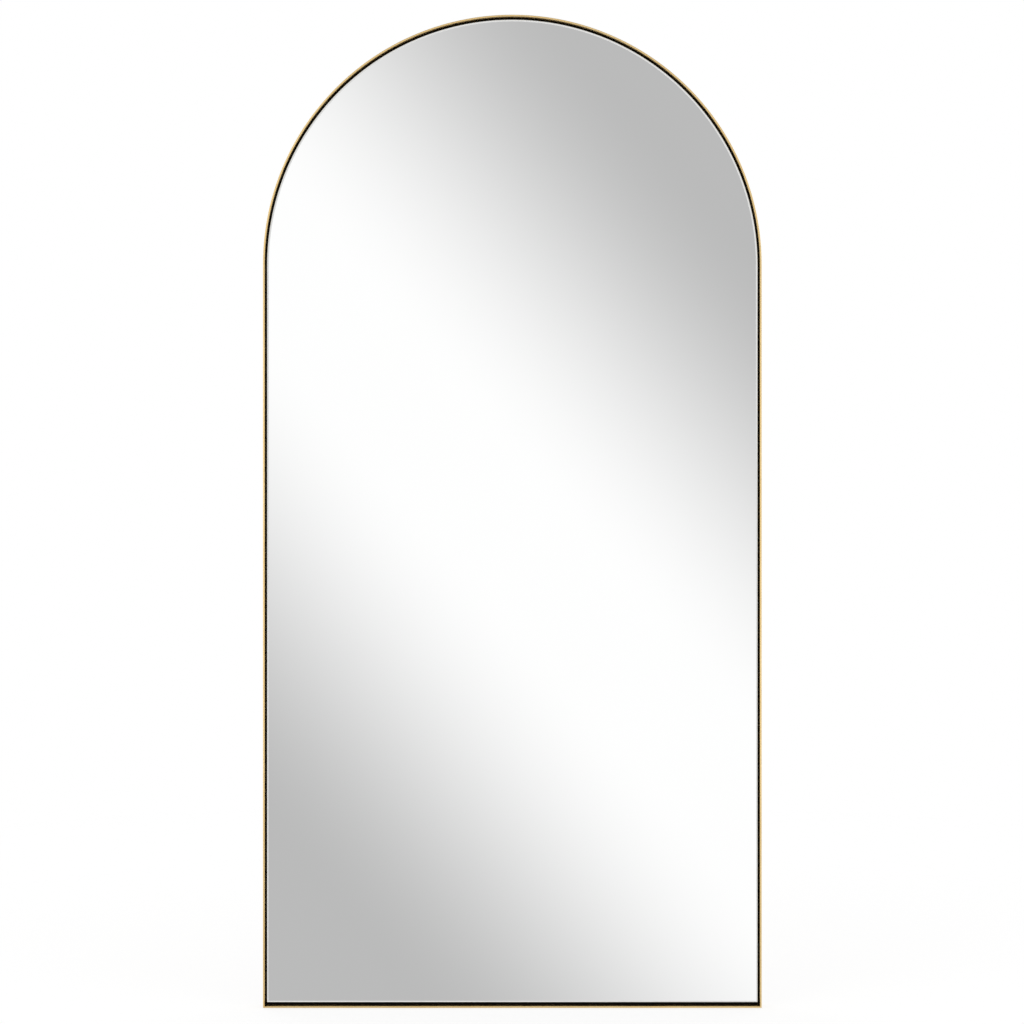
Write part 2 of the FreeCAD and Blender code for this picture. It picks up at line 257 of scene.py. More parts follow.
# %% Settled dust: a broken veil on whatever faces up
dust_tree, dust_in, dust_out = effect(
    "settled_dust", [("Vector", "Vector", None), ("Amount", "Float", 0.3)], [("Mask", "Float")])
dust_normal = add(dust_tree, "ShaderNodeNewGeometry", {})
dust_up = add(dust_tree, "ShaderNodeSeparateXYZ", {0: dust_normal.outputs["Normal"]})
dust_noise = add(dust_tree, "ShaderNodeTexNoise", {
    "Vector": dust_in["Vector"], "Scale": 240.0, "Detail": 4.0, "Roughness": 0.65})
dust_facing = spread(dust_tree, dust_up.outputs["Z"], 0.1, 1.0, 0, 1)
dust_broken = spread(dust_tree, dust_noise.outputs[0], 0.35, 0.7, 0.2, 1)
dust_veil = reckon(dust_tree, "MULTIPLY", dust_facing, dust_broken)
dust_tree.links.new(reckon(dust_tree, "MULTIPLY", dust_veil, dust_in["Amount"]), dust_out["Mask"])
print("effects:", [group.name for group in bpy.data.node_groups])


# %% [markdown]
# ## A place for every finish
#
# Each finish starts from one Principled shader. Its constants, such as how metallic it is, are
# set on the shader itself. Only what changes over the surface arrives through nodes. Patterns
# read Object coordinates, which are the object's own metres here, so their grain has a real size.

# %% Start a finish, and place an effect in it
def finish_named(name, **constants):
    """A material with its shader's constants set, its tree, and its Object coordinates."""
    made = bpy.data.materials.new(name)
    made.use_nodes = True
    shader = made.node_tree.nodes["Principled BSDF"]
    for label, value in constants.items():
        shader.inputs[label.replace("_", " ")].default_value = value
    place = made.node_tree.nodes.new("ShaderNodeTexCoord").outputs["Object"]
    return made, made.node_tree, shader, place


def put(tree, group, values):
    """Places one of the effects above and gives back its outputs."""
    node = tree.nodes.new("ShaderNodeGroup")
    node.node_tree = group
    for label, value in values.items():
        if isinstance(value, bpy.types.NodeSocket):
            tree.links.new(value, node.inputs[label])
        else:
            node.inputs[label].default_value = value
    return node.outputs


def tone(tree, place, scale, deep, pale):
    """The drifting tone between two colours, each written as red, green and blue."""
    return put(tree, tone_tree, {"Vector": place, "Scale": scale, "Deep": (*deep, 1), "Pale": (*pale, 1)})


def grit(tree, place, scale):
    """The height of the coating grit."""
    return put(tree, grit_tree, {"Vector": place, "Scale": scale})["Height"]


def lined(tree, place, along, across):
    """The brushed lines, so many to the metre each way."""
    return put(tree, lines_tree, {"Vector": place, "Along": along, "Across": across})["Lines"]


def feed(tree, shader, colour=None, roughness=None, height=None, strength=0.2, distance=0.0001):
    """Links a colour, a roughness and a height to the shader."""
    if colour:
        tree.links.new(colour, shader.inputs["Base Color"])
    if roughness:
        tree.links.new(roughness, shader.inputs["Roughness"])
    if height:
        bump = add(tree, "ShaderNodeBump", {"Strength": strength, "Distance": distance, "Height": height})
        tree.links.new(bump.outputs[0], shader.inputs["Normal"])


# %% [markdown]
# ## The finishes on the front
#
# The bar is steel, plated with brass and brushed along its length, so its light is drawn out
# across the lines. The grain follows the bar round the head, which Object coordinates can't do,
# so it reads a UV map that is laid along the bar. The mirror is silvered on the back of the
# glass: a metal with next to no roughness, and a breath of haze. The ground rim of the glass
# has no silver, so it shows the pale green of the glass itself.

# %% Satin brass
satin_brass, tree, shader, place = finish_named("satin_brass", Metallic=1.0)
run = add(tree, "ShaderNodeUVMap", {}, uv_map="along_bar").outputs[0]
lines = lined(tree, run, 16.0, 5200.0)
plating = tone(tree, place, 9.0, (0.91, 0.64, 0.27), (0.97, 0.72, 0.35))["Color"]
brushed = mix_colours(tree, 0.08, plating, lines, "MULTIPLY")
feed(tree, shader, brushed, spread(tree, lines, 0, 1, 0.17, 0.27), lines, 0.15, 0.00002)

# %% Silvered glass
mirror_silver, tree, shader, place = finish_named("mirror_silver", Metallic=1.0)
silver = tone(tree, place, 2.5, (0.990, 0.993, 0.991), (0.996, 0.998, 0.997))
feed(tree, shader, silver["Color"], spread(tree, silver["Drift"], 0, 1, 0.0, 0.012))

# %% The strip that the polisher's belt has dulled
dulled_silver, tree, shader, place = finish_named("dulled_silver", Metallic=1.0)
belt = lined(tree, place, 700.0, 700.0)
dulled = tone(tree, place, 30.0, (0.96, 0.965, 0.96), (0.985, 0.99, 0.985))["Color"]
feed(tree, shader, dulled, spread(tree, belt, 0, 1, 0.26, 0.34))

# %% Ground rim of the glass
ground_rim, tree, shader, place = finish_named("ground_rim", IOR=1.52)
grinding = lined(tree, place, 900.0, 900.0)
rim_tone = tone(tree, place, 14.0, (0.80, 0.86, 0.83), (0.86, 0.91, 0.89))["Color"]
feed(tree, shader, rim_tone, spread(tree, grinding, 0, 1, 0.10, 0.26))

# %% Paint on the back of the silver
mirror_back_paint, tree, shader, place = finish_named("mirror_back_paint")
back_tone = tone(tree, place, 20.0, (0.16, 0.18, 0.20), (0.20, 0.22, 0.24))
feed(tree, shader, back_tone["Color"], spread(tree, back_tone["Drift"], 0, 1, 0.45, 0.6))

# %% Black rubber of the blocks in the gap, its tone set darker than the same rubber elsewhere, as painted shade of the gap
gap_rubber_with_painted_shade, tree, shader, place = finish_named("gap_rubber_with_painted_shade", Roughness=0.9, Specular_IOR_Level=0.05)
block_tone_painted_shade = tone(tree, place, 120.0, (0.003, 0.003, 0.003), (0.006, 0.006, 0.006))["Color"]
block_bite = grit(tree, place, 2200.0)
feed(tree, shader, block_tone_painted_shade, None, block_bite, 0.2, 0.00005)

# %% Black foam in the shadow gap, its tone set darker than real black foam, as painted shade of the deep gap
gap_foam_with_painted_shade, tree, shader, place = finish_named("gap_foam_with_painted_shade", Roughness=0.95, Specular_IOR_Level=0.05)
foam_tone_painted_shade = tone(tree, place, 300.0, (0.004, 0.004, 0.004), (0.009, 0.009, 0.008))["Color"]
cells = add(tree, "ShaderNodeTexVoronoi", {"Vector": place, "Scale": 1600.0}).outputs["Distance"]
feed(tree, shader, foam_tone_painted_shade, None, cells, 0.2, 0.0001)

# %% [markdown]
# ## The finishes behind
#
# The back is honest workshop stock. The ledge and the braces are powder coated, which dries with
# a fine orange peel and gathers dust on its upper edges. Screws and hanger straps are zinc
# plated, and the rings are bright nickel. Weld beads keep the straw and blue of their heat. The
# board shows the pressed fibres of its two faces. All of them could be plain greys and browns,
# but a close look from behind is where a stand-in gives itself away.

# %% Black powder coat
powder_coat, tree, shader, place = finish_named("black_powder_coat")
coat = tone(tree, place, 30.0, (0.014, 0.014, 0.015), (0.024, 0.024, 0.025))
peel = grit(tree, place, 1100.0)
dust = put(tree, dust_tree, {"Vector": place, "Amount": 0.35})["Mask"]
coat_colour = mix_colours(tree, dust, coat["Color"], (0.32, 0.30, 0.27, 1))
feed(tree, shader, coat_colour, spread(tree, coat["Drift"], 0, 1, 0.38, 0.52), peel, 0.35, 0.00006)

# %% Zinc plate
zinc_plate, tree, shader, place = finish_named("zinc_plate", Metallic=1.0)
zinc = tone(tree, place, 160.0, (0.50, 0.51, 0.53), (0.66, 0.66, 0.63))
rolled = lined(tree, place, 2400.0, 300.0)
feed(tree, shader, zinc["Color"], spread(tree, rolled, 0, 1, 0.22, 0.38), rolled, 0.12, 0.00002)

# %% Bright nickel wire
nickel_wire, tree, shader, place = finish_named("nickel_wire", Metallic=1.0)
nickel = tone(tree, place, 220.0, (0.58, 0.56, 0.52), (0.70, 0.68, 0.64))
drawn = lined(tree, place, 900.0, 1500.0)
feed(tree, shader, nickel["Color"], spread(tree, drawn, 0, 1, 0.12, 0.24), drawn, 0.10, 0.00001)

# %% Weld beads with their heat colours
heat_bead, tree, shader, place = finish_named("heat_tinted_bead", Metallic=1.0)
scale_tone = tone(tree, place, 420.0, (0.20, 0.20, 0.23), (0.46, 0.41, 0.33))
spatter = grit(tree, place, 2600.0)
feed(tree, shader, scale_tone["Color"], spread(tree, scale_tone["Drift"], 0, 1, 0.50, 0.32),
     spatter, 0.3, 0.00008)

# %% Pressed fibreboard
fibreboard, tree, shader, place = finish_named("pressed_fibreboard")
board_tone = tone(tree, place, 6.0, (0.44, 0.305, 0.19), (0.48, 0.34, 0.215))["Color"]
fibres = lined(tree, place, 420.0, 900.0)
flecks = add(tree, "ShaderNodeTexVoronoi", {"Vector": place, "Scale": 520.0}).outputs["Distance"]
board_fibres = mix_colours(tree, spread(tree, fibres, 0.2, 1, 0, 0.35), board_tone, (0.62, 0.48, 0.33, 1))
board_colour = mix_colours(tree, spread(tree, flecks, 0.0, 0.22, 0.5, 0), board_fibres,
                           (0.20, 0.12, 0.07, 1))
feed(tree, shader, board_colour, spread(tree, fibres, 0, 1, 0.72, 0.88), fibres, 0.25, 0.00008)

# %% Moulded rubber
moulded_rubber, tree, shader, place = finish_named("moulded_rubber")
rubber = tone(tree, place, 90.0, (0.014, 0.014, 0.014), (0.026, 0.025, 0.024))
bite = grit(tree, place, 2200.0)
rubber_dust = put(tree, dust_tree, {"Vector": place, "Amount": 0.25})["Mask"]
rubber_colour = mix_colours(tree, rubber_dust, rubber["Color"], (0.30, 0.29, 0.27, 1))
feed(tree, shader, rubber_colour, spread(tree, rubber["Drift"], 0, 1, 0.6, 0.78), bite, 0.3, 0.00006)

# %% Clear silicone
clear_silicone, tree, shader, place = finish_named(
    "clear_silicone", Transmission_Weight=0.85, IOR=1.41)
gel = tone(tree, place, 120.0, (0.82, 0.85, 0.86), (0.92, 0.94, 0.94))
feed(tree, shader, gel["Color"], spread(tree, gel["Drift"], 0, 1, 0.18, 0.32))

# %% White film and white foam tape, which keep their solids
safety_film_white, tree, shader, place = finish_named("safety_film_white")
film = tone(tree, place, 40.0, (0.72, 0.74, 0.74), (0.80, 0.81, 0.80))
feed(tree, shader, film["Color"], spread(tree, film["Drift"], 0, 1, 0.3, 0.45), film["Drift"], 0.1, 0.0002)
foam_tape_white, tree, shader, place = finish_named("foam_tape_white", Roughness=0.9)
tape = tone(tree, place, 500.0, (0.62, 0.61, 0.57), (0.74, 0.73, 0.70))
feed(tree, shader, tape["Color"], None, tape["Drift"], 0.3, 0.0002)
for node_name, kept_finish in (("safety_film", safety_film_white), ("foam_tape_strips", foam_tape_white)):
    frame["nodes"][node_name].material_slots[0].material = kept_finish
print("finishes:", len(bpy.data.materials))

# %% [markdown]
# ## The brass frame
#
# The frame is one flat bar on edge, bent over a former for the head, and mitred at the two foot
# corners. In the photograph it is a line two pixels wide, so it has to be exact. Each of its four
# lengths is its own piece, as it is its own solid. The head is spun in one-and-a-half degree
# steps, fine enough that no straight facet shows in its outline. A curve object with a bevel
# profile could run the whole way round too, but it can't mitre a sharp corner cleanly.

# %% The bar's section, and a grain laid along it
bar_corners = ((0, front_y), (bar, front_y), (bar, back_y), (0, back_y))
bar_eases = (0.0008, 0.0011, 0.0004, 0.0004)
head_steps = 120


def section(corners, z, side=1):
    """A section's corners, from insets and depths to places at one height of one leg."""
    return [(side * (half_width - inset), y, z) for inset, y in corners]


def lay_grain(made):
    """A UV map whose U runs along the bar and whose V goes round its section."""
    mesh = made.data
    layer = mesh.uv_layers.new(name="along_bar")
    for loop in mesh.loops:
        point = mesh.vertices[loop.vertex_index].co
        if point.z > spring_z:
            along = half_width * atan2(point.z - spring_z, point.x)
            inset = half_width - hypot(point.x, point.z - spring_z)
        elif "rail" in made.name:
            along = point.x
            inset = point.z - foot_z
        else:
            along = point.z - spring_z
            inset = half_width - abs(point.x)
        layer.data[loop.index].uv = (along, inset + point.y)


# %% The head
bm = bmesh.new()
start = face_from(bm, section(bar_corners, spring_z), bar_eases)
sweep(bm, start, (0, 0, spring_z), (0, -1, 0), pi, head_steps)
lay_grain(piece("brass_head", bm, [satin_brass], ["frame_arch"]))

# %% The two legs, mitred at the foot
for side, name in ((-1, "left"), (1, "right")):
    bm = bmesh.new()
    start = face_from(bm, section(bar_corners, spring_z, side), bar_eases)
    end = pull(bm, start, (0, 0, foot_z - spring_z))
    for vert in end.verts:
        vert.co.z += half_width - abs(vert.co.x)
    lay_grain(piece("brass_leg_" + name, bm, [satin_brass], ["frame_leg_" + name]))

# %% The bottom rail, mitred at both ends
bm = bmesh.new()
start = face_from(bm, [(-half_width + inset, y, foot_z + inset) for inset, y in bar_corners], bar_eases)
end = pull(bm, start)
bmesh.ops.scale(bm, vec=(-1, 1, 1), verts=list(end.verts))
lay_grain(piece("brass_bottom_rail", bm, [satin_brass], ["frame_bottom_rail"]))

# %% [markdown]
# ## The silvered pane
#
# The pane is 4 mm glass with its front rim ground to a narrow arris. Its outline is one vertex
# spun over the head, two more at the foot, and an edge between each, filled as a single face.
# That face is pulled back by the thickness of the glass, and its front edges are beveled flat
# with one segment, as a grinding wheel leaves them. Inside the arris the polisher's belt has
# dulled a strip of the face and tipped it by a few degrees, so it is inset as a ring of its own.
# It gathers light from the whole room, and in the photograph it is the thin light line beside
# the black one. One face for all the rest keeps the reflection perfectly flat, which a
# subdivided sheet would not.

# %% An arched plate, used by the pane and by the board behind it
def arched_plate(inset, foot, front, back, arris):
    """A bmesh of a plate with the mirror's outline, its front rim beveled."""
    bm = bmesh.new()
    radius = half_width - inset
    right = bm.verts.new((radius, front, spring_z))
    turned = bmesh.ops.spin(bm, geom=[right], cent=(0, front, spring_z), axis=(0, -1, 0), angle=pi,
                            steps=head_steps, use_duplicate=False)["geom_last"]
    left = [item for item in turned if isinstance(item, bmesh.types.BMVert)][0]
    left_foot = bm.verts.new((-radius, front, foot_z + foot))
    right_foot = bm.verts.new((radius, front, foot_z + foot))
    for pair in ((left, left_foot), (left_foot, right_foot), (right_foot, right)):
        bm.edges.new(pair)
    bmesh.ops.contextual_create(bm, geom=list(bm.edges))
    bm.faces.ensure_lookup_table()
    pull(bm, bm.faces[0], (0, back - front, 0))
    rim = [edge for edge in bm.edges if all(abs(vert.co.y - front) < 1e-6 for vert in edge.verts)]
    bmesh.ops.bevel(bm, geom=rim, offset=arris, segments=1, profile=0.5, affect="EDGES", material=-1)
    return bm


# %% The pane: silver in front, ground rim, paint behind
arris = 0.0004
dulled_width, dulled_tip = 0.0028, 0.0003
bm = arched_plate(panel_inset, panel_foot, glass_front, glass_back, arris)
front, behind = sorted((face for face in bm.faces if len(face.verts) > 8),
                       key=lambda face: face.calc_center_median().y)
for face in bm.faces:
    face.material_index = 1
front.material_index = 0
behind.material_index = 2
rim_verts = list(front.verts)
dulled_ring = bmesh.ops.inset_region(bm, faces=[front], thickness=dulled_width, depth=0.0)["faces"]
bmesh.ops.translate(bm, vec=(0, dulled_tip, 0), verts=rim_verts)
for face in dulled_ring:
    face.material_index = 3
piece("silvered_pane", bm, [mirror_silver, ground_rim, mirror_back_paint, dulled_silver],
      ["mirror_glass"], crease=3)

# %% The board behind it
bm = arched_plate(panel_inset, panel_foot, board_front, board_back, arris)
piece("fibre_back", bm, [fibreboard], ["backing_board"])

# %% [markdown]
# ## The black line round the mirror
#
# Between brass and glass there is a gap, with a black foam strip at its bottom. In the
# photograph it is the crisp dark line that makes the mirror float in its frame. The foam, and
# the rubber blocks beside it, are given a tone darker than the real materials, as painted shade
# of the deep gap. The strip is swept in one run from block to block, turning the foot corners on
# the mitre, with a short length between the two rubber blocks that carry the glass. The gap is
# half as wide again over the bottom rail, so the foot of the strip is taller than its sides are wide.

# %% The foam strip
block_low, block_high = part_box("setting_block_right")
foam_corners = ((bar, glass_back), (panel_inset, glass_back), (panel_inset, board_back), (bar, board_back))
foot_taper = (panel_foot - bar) / (panel_inset - bar)
bm = bmesh.new()
right_end = face_from(bm, section(foam_corners, spring_z))
left_end = sweep(bm, right_end, (0, 0, spring_z), (0, -1, 0), pi, head_steps)
for side, end in ((1, right_end), (-1, left_end)):
    corner = pull(bm, end, (0, 0, foot_z + bar - spring_z))
    for vert in corner.verts:
        vert.co.z += foot_taper * (half_width - bar - abs(vert.co.x))
    stop = pull(bm, corner)
    for vert in stop.verts:
        vert.co.x = side * block_high.x
foot_corners = [(-block_low.x, y, foot_z + bar + foot_taper * (inset - bar)) for inset, y in foam_corners]
middle = face_from(bm, foot_corners)
pull(bm, middle, (2 * block_low.x, 0, 0))
piece("gap_foam_strip", bm, [gap_foam_with_painted_shade], ["reveal_gasket"])


# %% A block with soft edges, used by every small rubber piece
def soft_block(low, high, rounding):
    """A bmesh of a box between two corners, its edges rounded."""
    bm = bmesh.new()
    cube = bmesh.ops.create_cube(bm, size=1.0)["verts"]
    bmesh.ops.scale(bm, vec=high - low, verts=cube)
    bmesh.ops.translate(bm, vec=(low + high) / 2, verts=cube)
    bmesh.ops.bevel(bm, geom=list(bm.edges), offset=rounding, segments=3, profile=0.5,
                    affect="EDGES", material=-1)
    return bm


# %% Setting blocks and floor pads
for name in ("left", "right"):
    block = soft_block(*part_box("setting_block_" + name), rounding=0.0003)
    piece("pane_block_" + name, block, [gap_rubber_with_painted_shade], ["setting_block_" + name])
    pad = soft_block(*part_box("floor_pad_" + name), rounding=0.0005)
    piece("clear_pad_" + name, pad, [clear_silicone], ["floor_pad_" + name])

# %% [markdown]
# ## The ledge and the braces
#
# Behind the board runs a ledge of flat steel, welded inside the bar, and two top-hat channels
# tie the legs together. The ledge is swept like the bar. A channel starts from its outline in
# one face. Sheet metal can't fold to a knife edge, so each fold gets a small radius inside and
# that radius plus the sheet's thickness outside, which the bevel operator gives vertex by vertex.

# %% The ledge: head, legs and foot
ledge_corners = ((bar, board_back), (ledge_inset, board_back), (ledge_inset, ledge_back), (bar, ledge_back))
ledge_eases = (0.0003,) * 4
bm = bmesh.new()
start = face_from(bm, section(ledge_corners, spring_z), ledge_eases)
sweep(bm, start, (0, 0, spring_z), (0, -1, 0), pi, head_steps)
piece("ledge_head", bm, [powder_coat], ["ledge_arch"])
for side, name in ((-1, "left"), (1, "right")):
    bm = bmesh.new()
    start = face_from(bm, section(ledge_corners, spring_z, side), ledge_eases)
    pull(bm, start, (0, 0, foot_z + bar - spring_z))
    piece("ledge_side_" + name, bm, [powder_coat], ["ledge_" + name])
bm = bmesh.new()
reach = half_width - ledge_inset
start = face_from(bm, [(-reach, y, foot_z + inset) for inset, y in ledge_corners], ledge_eases)
pull(bm, start, (2 * reach, 0, 0))
piece("ledge_foot", bm, [powder_coat], ["ledge_bottom"])

# %% The two top-hat channels
sheet, crown = 0.0012, 0.012
sheared, inside = 0.0003, 0.0008
outside = inside + sheet
folds = [sheared, sheared, inside, outside, outside, inside, sheared, sheared, outside, inside, inside,
         outside]
for level in ("lower", "upper"):
    low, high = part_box("cross_brace_" + level)
    middle_z = (low.z + high.z) / 2
    flange = (high.z - low.z) / 2
    outline = [(flange, low.y), (flange, low.y + sheet), (crown, low.y + sheet), (crown, high.y),
               (-crown, high.y), (-crown, low.y + sheet), (-flange, low.y + sheet), (-flange, low.y),
               (sheet - crown, low.y), (sheet - crown, high.y - sheet),
               (crown - sheet, high.y - sheet), (crown - sheet, low.y)]
    bm = bmesh.new()
    end = face_from(bm, [(low.x, y, middle_z + z) for z, y in outline], folds)
    pull(bm, end, (high.x - low.x, 0, 0))
    piece("channel_" + level, bm, [powder_coat], ["cross_brace_" + level])

# %% [markdown]
# ## The hangers
#
# Each hanger is a strap whose top is rolled round the pin of a D-shaped ring. The strap's flat
# is an outline with a round foot, pulled to its thickness. Its top end is then lifted a little
# and spun back over the axis, as the roll is bent in a press, and it stops short of the strap
# so that the mouth of the roll stays open. The ring is one round wire, bent four times.

# %% The rolled strap
ring_axis = {side: sum(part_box("hanger_plate_" + side), Vector()).x / 2 for side in ("left", "right")}
axis_y = sum(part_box("d_ring_right"), Vector()).y / 2
wire_radius = 0.00175
axis_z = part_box("d_ring_right")[1].z - wire_radius
strap_thickness = 0.0015
roll_bore = 0.00183
neck_below_axis = 0.003
roll_turn = radians(-292)
print("ring axis at y", round(axis_y, 5), "z", round(axis_z, 5))


def rolled_strap(x, half, foot):
    """A strap with a round foot, its top rolled back over the ring's axis."""
    bm = bmesh.new()
    right = bm.verts.new((x + half, ledge_back, foot + half))
    turned = bmesh.ops.spin(bm, geom=[right], cent=(x, ledge_back, foot + half), axis=(0, 1, 0), angle=pi,
                            steps=20, use_duplicate=False)["geom_last"]
    left = [item for item in turned if isinstance(item, bmesh.types.BMVert)][0]
    neck = axis_z - neck_below_axis
    top_left = bm.verts.new((x - half, ledge_back, neck))
    top_right = bm.verts.new((x + half, ledge_back, neck))
    for pair in ((left, top_left), (top_left, top_right), (top_right, right)):
        bm.edges.new(pair)
    bmesh.ops.contextual_create(bm, geom=list(bm.edges))
    bm.faces.ensure_lookup_table()
    pull(bm, bm.faces[0], (0, strap_thickness, 0))
    bm.normal_update()
    end = [face for face in bm.faces if all(abs(vert.co.z - neck) < 1e-7 for vert in face.verts)][0]
    lift = axis_y - roll_bore - strap_thickness - ledge_back
    end = pull(bm, end, (0, lift, neck_below_axis))
    sweep(bm, end, (x, axis_y, axis_z), (1, 0, 0), roll_turn, 30)
    return bm


for side in ("left", "right"):
    low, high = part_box("hanger_plate_" + side)
    strap = rolled_strap(ring_axis[side], (high.x - low.x) / 2, low.z)
    piece("rolled_strap_" + side, strap, [zinc_plate], ["hanger_plate_" + side])


# %% The D-shaped ring
def bent_ring(x, wire, half, corner, straight):
    """A round wire bent to a D, from the middle of its pin all the way round."""
    bm = bmesh.new()
    bmesh.ops.create_circle(bm, cap_ends=True, radius=wire, segments=20)
    bmesh.ops.rotate(bm, cent=(0, 0, 0), matrix=Matrix.Rotation(pi / 2, 3, "Y"), verts=bm.verts)
    bmesh.ops.translate(bm, vec=(x, axis_y, axis_z), verts=bm.verts)
    bm.faces.ensure_lookup_table()
    start = bm.faces[0]
    elbow = half - corner
    end = pull(bm, start, (elbow, 0, 0))
    end = sweep(bm, end, (x + elbow, axis_y, axis_z - corner), (0, 1, 0), pi / 2, 8)
    end = pull(bm, end, (0, 0, -straight))
    end = sweep(bm, end, (x, axis_y, axis_z - corner - straight), (0, 1, 0), pi, 40)
    end = pull(bm, end, (0, 0, straight))
    end = sweep(bm, end, (x - elbow, axis_y, axis_z - corner), (0, 1, 0), pi / 2, 8)
    end = pull(bm, end, (elbow, 0, 0))
    bmesh.ops.delete(bm, geom=[start, end], context="FACES_ONLY")
    return bm


for side in ("left", "right"):
    ring = bent_ring(ring_axis[side], wire_radius, half=0.012, corner=0.003, straight=0.003)
    piece("wire_ring_" + side, ring, [nickel_wire], ["d_ring_" + side],
          body="ring_" + side, crease=60)

# %% [markdown]
# ## The screws
#
# Every screw is the same: a pan head with a cross recess. The head is a circle raised in rings,
# each drawn in a little, and a small grid that is bridged to the last ring. The five cells of
# the grid that make a cross are then pushed down and narrowed. One screw is made and copied to
# each hole, turned by a different amount, because nobody drives a screw to line up its cross.

# %% One screw at the origin, its head towards +Y
head_radius, head_height = 0.0035, 0.0020
cross_reach, cross_half_width, cross_depth = 0.0012, 0.0003, 0.0010
grid_reach, grid_step = 0.0015, 0.0005
shank_length, shank_in_head = 0.0090, 0.0001


def pan_head():
    """A pan head and shank about the Y axis, seated at y = 0."""
    bm = bmesh.new()
    rim = bmesh.ops.create_circle(bm, cap_ends=False, radius=head_radius, segments=24)["verts"]
    ring = list({edge for vert in rim for edge in vert.link_edges})
    foot_ring = list(ring)
    for rise, radius in ((0.0009, 1.0), (0.0006, 0.93), (0.0003, 0.80)):
        made = bmesh.ops.extrude_edge_only(bm, edges=ring)["geom"]
        ring = [item for item in made if isinstance(item, bmesh.types.BMEdge)]
        verts = [item for item in made if isinstance(item, bmesh.types.BMVert)]
        bmesh.ops.translate(bm, vec=(0, 0, rise), verts=verts)
        bmesh.ops.scale(bm, vec=(radius, radius, 1), verts=verts)
    grid = bmesh.ops.create_grid(bm, x_segments=6, y_segments=6, size=grid_reach)["verts"]
    lines_at = (-grid_reach, -cross_reach, -cross_half_width, 0, cross_half_width, cross_reach, grid_reach)
    for vert in grid:
        vert.co.x = lines_at[round(vert.co.x / grid_step) + 3]
        vert.co.y = lines_at[round(vert.co.y / grid_step) + 3]
        vert.co.z = head_height
    border = [edge for vert in grid for edge in vert.link_edges if edge.is_boundary]
    bmesh.ops.bridge_loops(bm, edges=ring + list(set(border)))
    cross = []
    for face in bm.faces:
        spot = face.calc_center_median()
        near = min(abs(spot.x), abs(spot.y))
        far = max(abs(spot.x), abs(spot.y))
        if spot.z > head_height - 0.00001 and near < cross_half_width and far < cross_reach:
            cross.append(face)
    sunk = bmesh.ops.extrude_face_region(bm, geom=cross)["geom"]
    floor_verts = [item for item in sunk if isinstance(item, bmesh.types.BMVert)]
    bmesh.ops.translate(bm, vec=(0, 0, -cross_depth), verts=floor_verts)
    bmesh.ops.scale(bm, vec=(0.72, 0.72, 1), verts=floor_verts)
    bmesh.ops.edgeloop_fill(bm, edges=foot_ring)
    shank = bmesh.ops.create_cone(bm, cap_ends=True, segments=12, radius1=0.0010, radius2=0.00175,
                                  depth=shank_length)["verts"]
    bmesh.ops.translate(bm, vec=(0, 0, shank_in_head - shank_length / 2), verts=shank)
    bmesh.ops.rotate(bm, cent=(0, 0, 0), matrix=Matrix.Rotation(-pi / 2, 3, "X"), verts=bm.verts)
    bmesh.ops.recalc_face_normals(bm, faces=bm.faces)
    mesh = bpy.data.meshes.new("pan_head_pattern")
    bm.to_mesh(mesh)
    bm.free()
    return mesh


pan_head_pattern = pan_head()
print("one screw has", len(pan_head_pattern.polygons), "faces")


# %% Drive a screw into each hole
def screw_heads(node):
    """Middles of the screw heads in a node, read from the solids' topmost ring of points."""
    mesh = frame["nodes"][node].data
    top = max(vert.co.y for vert in mesh.vertices)
    heads = []
    for vert in mesh.vertices:
        if vert.co.y < top - 1e-5:
            continue
        for head in heads:
            if (head[0] - vert.co).length < 0.0075:
                head.append(vert.co.copy())
                break
        else:
            heads.append([vert.co.copy()])
    places = []
    for head in heads:
        xs = [point.x for point in head]
        zs = [point.z for point in head]
        places.append(Vector(((min(xs) + max(xs)) / 2, top, (min(zs) + max(zs)) / 2)))
    return places


for node in ("panel_screws", "brace_screws", "hanger_screws"):
    bm = bmesh.new()
    for count, place in enumerate(screw_heads(node)):
        before = len(bm.verts)
        bm.from_mesh(pan_head_pattern)
        bm.verts.ensure_lookup_table()
        new = bm.verts[before:]
        turn = Matrix.Rotation(radians(37 * count + 11), 3, "Y")
        bmesh.ops.rotate(bm, cent=(0, 0, 0), matrix=turn, verts=new)
        bmesh.ops.translate(bm, vec=place - Vector((0, head_height, 0)), verts=new)
    print(node, "are", count + 1)
    piece(node.replace("screws", "pan_heads"), bm, [zinc_plate], [node])

# %% [markdown]
# ## The welds
#
# A weld bead is a row of little scales, each laid on the last. A quarter of a disc, cut with
# bisect from a circle, fills the corner between two plates. It is extruded in short steps, and
# every other step is drawn in towards the corner, which leaves the ripples. A bump map would
# be lighter, but a bead is seen from the side, where only real ripples show in its outline.

# %% Lay a bead step by step
def wedge_of_disc(bm, centre, radius, turn, cuts):
    """A disc cut down to the part that stands clear of the plates it joins."""
    disc = bmesh.ops.create_circle(bm, cap_ends=True, radius=radius, segments=20)["verts"]
    bmesh.ops.rotate(bm, cent=(0, 0, 0), matrix=turn, verts=disc)
    bmesh.ops.translate(bm, vec=centre, verts=disc)
    for keep in cuts:
        live = [vert for vert in disc if vert.is_valid]
        parts = {item for vert in live for item in (vert, *vert.link_edges, *vert.link_faces)}
        bmesh.ops.bisect_plane(bm, geom=list(parts), plane_co=centre, plane_no=keep, clear_inner=True,
                               dist=1e-7)
        disc = [vert for vert in bm.verts if (vert.co - centre).length < radius * 1.01]
    return disc[0].link_faces[0]


pinch, last_pinch = 0.84, 0.7


